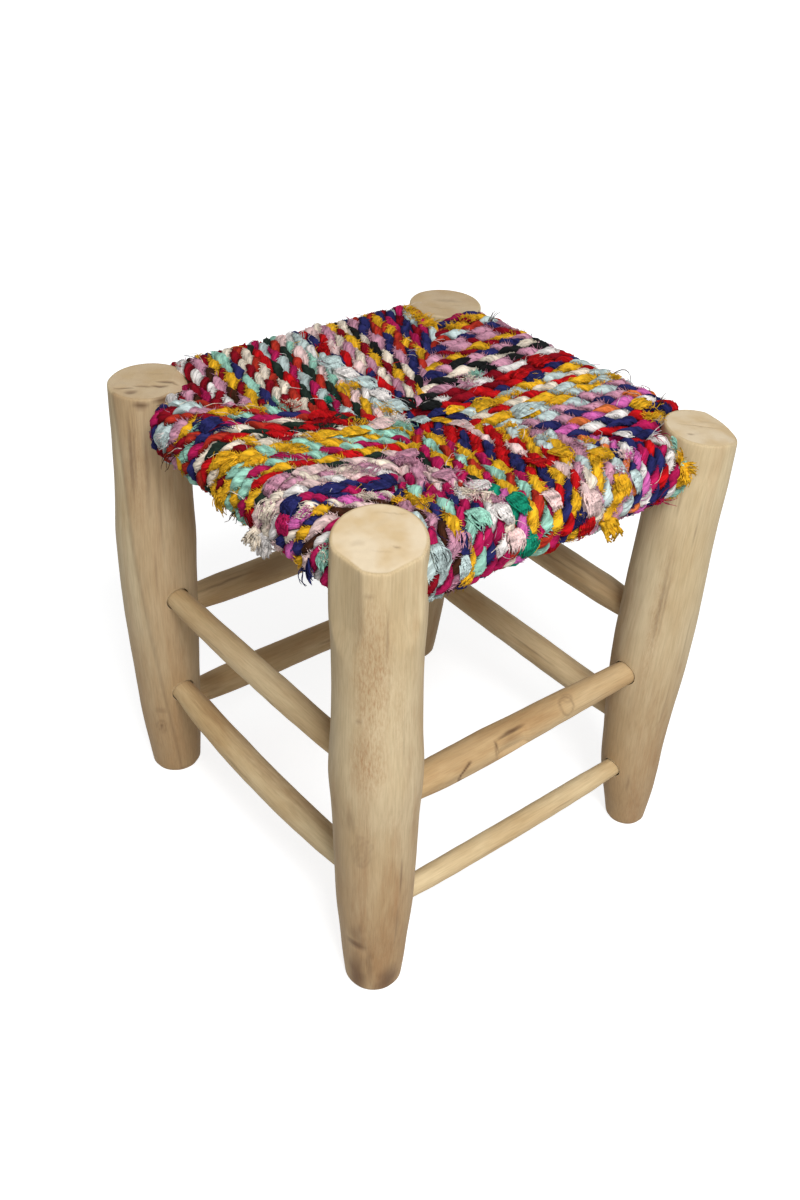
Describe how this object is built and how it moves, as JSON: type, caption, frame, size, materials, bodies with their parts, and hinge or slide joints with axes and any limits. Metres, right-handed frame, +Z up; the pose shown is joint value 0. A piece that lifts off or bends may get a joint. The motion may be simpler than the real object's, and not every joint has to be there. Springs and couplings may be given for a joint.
{
  "type": "rag rope stool",
  "caption": "Low square stool of hand-hewn round wood with stretcher rungs and a seat woven of multicoloured rag rope in the envelope pattern.",
  "frame": {"origin": "on the floor under the middle of the stool", "axes": "+Z up, +X to the stool's right, -Y to its front"},
  "size_m": [0.3693, 0.3756, 0.4071],
  "materials": {
    "leg_wood": "peeled and hewn by hand, unfinished, dry and a little stained",
    "rung_wood": "whittled by hand, unfinished",
    "rail_wood": "whittled by hand, unfinished, hidden by the rope",
    "rag_rope": "twisted strips of cotton rag in many colours, matt and slightly frayed"
  },
  "bodies": {
    "root": {"leg_front_left": "leg_wood", "leg_front_right": "leg_wood", "leg_rear_left": "leg_wood", "leg_rear_right": "leg_wood", "rung_front_lower": "rung_wood", "rung_front_upper": "rung_wood", "rung_left_lower": "rung_wood", "rung_left_upper": "rung_wood", "rung_rear_lower": "rung_wood", "rung_rear_upper": "rung_wood", "rung_right_lower": "rung_wood", "rung_right_upper": "rung_wood", "seat_rail_front": "rail_wood", "seat_rail_left": "rail_wood", "seat_rail_rear": "rail_wood", "seat_rail_right": "rail_wood", "seat_rope_front": "rag_rope", "seat_rope_left": "rag_rope", "seat_rope_rear": "rag_rope", "seat_rope_right": "rag_rope"}
  },
  "joints": []
}
